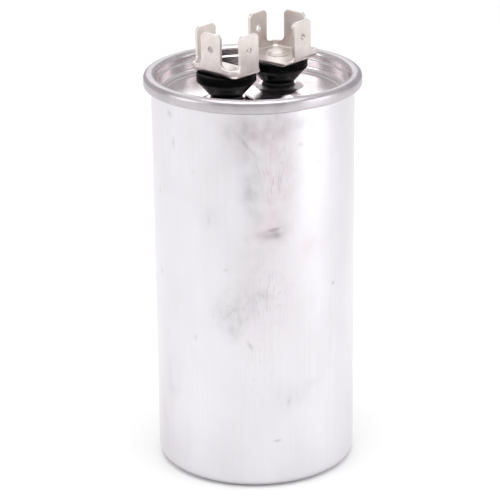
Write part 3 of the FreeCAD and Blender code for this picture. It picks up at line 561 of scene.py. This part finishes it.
def makeRivet(side):
    section = roundCorners([
        (0.2, rivet["footUnder"]),
        (rivet["foot"], rivet["footUnder"], 0.3),
        (rivet["foot"], rivet["lugUnder"]),
        (rivet["radius"], rivet["lugUnder"]),
        (rivet["radius"], rivet["plateTop"]),
        (rivet["head"], rivet["plateTop"]),
        (rivet["head"], rivet["plateTop"] + rivet["edge"], 0.12),
        (rivet["head"] * 0.45, rivet["top"], rivet["domeRound"]),
        (0.2, rivet["top"]),
    ], 5)
    post = posts[side]
    piece = turnPiece("rivet" + side.title(), section, rivet["around"], (post["x"], post["y"]))
    smooth(piece)
    return piece


# pieces held inside keep their CAD shape: finish, two colours, roughness, grain in millimetres,
# its depth, its stretch along the axis, metallic

innerFinishes = {
    "seam_compound": ("curedSeamCompound", "8A8A84", "9C9B94", 0.6, 1.0, 0.01, 1, 0.0),
    "gasket_rubber": ("mouldedRubber", "0E0E0E", "1C1B1B", 0.62, 0.4, 0.01, 1, 0.0),
    "bushing_plastic": ("mouldedNylon", "CFC9B6", "DDD8C8", 0.42, 2.0, 0.01, 1, 0.0),
    "tinned_brass": ("tinnedLug", "CFC5BE", "E2D9D3", 0.3, 1.5, 0.005, 1, 1.0),
    "lead_insulation": ("extrudedWireInsulation", "8E1B16", "A3241D", 0.4, 1.0, 0.01, 1, 0.0),
    "film": ("woundMetallisedFilm", "8F929A", "B4B7BE", 0.3, 0.2, 0.01, 60, 0.7),
    "zinc_spray": ("sprayedZinc", "74777B", "A2A5A8", 0.7, 0.5, 0.12, 1, 0.6),
    "wrap_film": ("clearWrapFilm", "C9C8BE", "DBDAD2", 0.25, 6.0, 0.01, 1, 0.0),
    "core_plastic": ("extrudedPolypropylene", "D6D3C8", "E2E0D8", 0.45, 2.0, 0.01, 1, 0.0),
    "cup_plastic": ("mouldedPolypropylene", "CBC9C2", "DAD8D2", 0.45, 3.0, 0.01, 1, 0.0),
    "pressboard": ("pressedBoard", "9A7A54", "B39369", 0.8, 0.6, 0.04, 1, 0.0),
}


def innerFinish(name, low, high, rough, grain, depth, stretch, metallic):
    material, tree = newMaterial(name)
    place = addNode(tree, "ShaderNodeTexCoord").outputs["Object"]
    stretched = addNode(tree, "ShaderNodeMapping", inputs={"Vector": place, "Scale": (1, 1, 1 / stretch)})
    pattern = addNode(tree, "ShaderNodeTexNoise", inputs={
        "Vector": stretched, "Scale": 1 / (grain * mm), "Detail": 3.0})
    spread = addNode(tree, "ShaderNodeMapRange", inputs={"Value": pattern, "From Min": 0.35, "From Max": 0.65})
    colour = addNode(tree, "ShaderNodeMix", {"data_type": "RGBA"}, {0: spread, 6: toLinear(low), 7: toLinear(high)})
    roughness = addNode(tree, "ShaderNodeMapRange", inputs={
        "Value": pattern, "From Min": 0.3, "From Max": 0.7, "To Min": rough - 0.05, "To Max": rough + 0.08})
    raised = addNode(tree, "ShaderNodeBump", inputs={"Height": pattern, "Distance": depth * mm, "Strength": 0.6})
    shader = addNode(tree, "ShaderNodeBsdfPrincipled", inputs={
        "Base Color": colour, "Metallic": metallic, "Roughness": roughness, "Normal": raised})
    addNode(tree, "ShaderNodeOutputMaterial", inputs={"Surface": shader})
    return material


def finishInnerNodes():
    made = {}
    for entry in frame["record"]["subparts"]:
        slotName = entry["material_slot"]
        if slotName not in innerFinishes:
            continue
        if slotName not in made:
            made[slotName] = innerFinish(*innerFinishes[slotName])
        node = nodes[entry["node"]]
        node.data.materials.clear()
        node.data.materials.append(made[slotName])
    print("inner pieces have", len(made), "finishes")


# studio: pale floor, white surroundings, broad soft lights

studio = {
    "floorSize": 4.0, "floorLow": "F6F6F6", "floorHigh": "FAFAFA",
    "surroundings": "FFFFFF", "surroundStrength": 0.6,
    "lens": 162.68, "cameraPlace": (0.0, -533.7, 252.15), "pitch": 20.345, "roll": 0.637, "yaw": 0.119,
}
# place, aim, size in millimetres, watts
lights = {
    "topSoftbox": ((0, -60, 900), (0, 0, 60), 800, 5.2),
    "backSoftbox": ((-110, 1000, 600), (0, 0, 95), 500, 0.9),
    "leftSoftbox": ((-1000, -320, 430), (0, 0, 90), 650, 2.5),
    "rightSoftbox": ((1000, -320, 430), (0, 0, 90), 650, 1.6),
    "rightCard": ((380, -160, 110), (0, 0, 40), 220, 0.2),
}


def makeFloor():
    # Painted board: matt and nearly even, a shade off white.
    deselectAll()
    bpy.ops.mesh.primitive_plane_add(size=studio["floorSize"])
    floor = bpy.context.object
    floor.name = "paleFloor"
    material, tree = newMaterial("paintedBoard")
    place = addNode(tree, "ShaderNodeTexCoord").outputs["Object"]
    pattern = addNode(tree, "ShaderNodeTexNoise", inputs={"Vector": place, "Scale": 1 / (60 * mm), "Detail": 3.0})
    colour = addNode(tree, "ShaderNodeMix", {"data_type": "RGBA"}, {
        0: pattern, 6: toLinear(studio["floorLow"]), 7: toLinear(studio["floorHigh"])})
    shader = addNode(tree, "ShaderNodeBsdfPrincipled", inputs={
        "Base Color": colour, "Roughness": 0.8, "Specular IOR Level": 0.2})
    addNode(tree, "ShaderNodeOutputMaterial", inputs={"Surface": shader})
    floor.data.materials.append(material)


def makeLights():
    world = bpy.data.worlds.new("whiteSurroundings")
    bpy.context.scene.world = world
    world.use_nodes = True
    background = world.node_tree.nodes["Background"]
    background.inputs["Color"].default_value = toLinear(studio["surroundings"])
    background.inputs["Strength"].default_value = studio["surroundStrength"]
    for name, (place, aim, size, watts) in lights.items():
        light = bpy.data.lights.new(name, "AREA")
        light.size = size * mm
        light.energy = watts
        lamp = bpy.data.objects.new(name, light)
        bpy.context.collection.objects.link(lamp)
        lamp.location = Vector(place) * mm
        lamp.rotation_euler = (Vector(aim) - Vector(place)).to_track_quat("-Z", "Y").to_euler()
    print("lights:", ", ".join(lights))


def makeCamera():
    lensData = bpy.data.cameras.new("camera")
    lensData.lens = studio["lens"]
    lensData.sensor_width = 36.0
    camera = bpy.data.objects.new("camera", lensData)
    bpy.context.collection.objects.link(camera)
    camera.location = Vector(studio["cameraPlace"]) * mm
    turn = (Matrix.Rotation(math.radians(studio["yaw"]), 4, "Z")
            @ Matrix.Rotation(math.radians(90 - studio["pitch"]), 4, "X")
            @ Matrix.Rotation(math.radians(-studio["roll"]), 4, "Z"))
    camera.rotation_euler = turn.to_euler()
    bpy.context.scene.camera = camera
    bpy.context.scene.view_settings.view_transform = "Standard"


finishPiece(makeCan(), drawnAluminium(), "can_aluminium", "can")
finishPiece(makeLid(), pressedTinplate(), "lid_tinplate", "lid")
black = mouldedPhenolic()
tinned = tinnedBrass()
for side in posts:
    finishPiece(makeInsulator(side), black, "insulator_plastic", "insulator_" + side)
    finishPiece(makeTerminal(side), tinned, "tinned_brass", "terminal_" + side)
    finishPiece(makeRivet(side), tinned, "rivet_brass", "rivet_" + side)
finishInnerNodes()
makeFloor()
makeLights()
makeCamera()
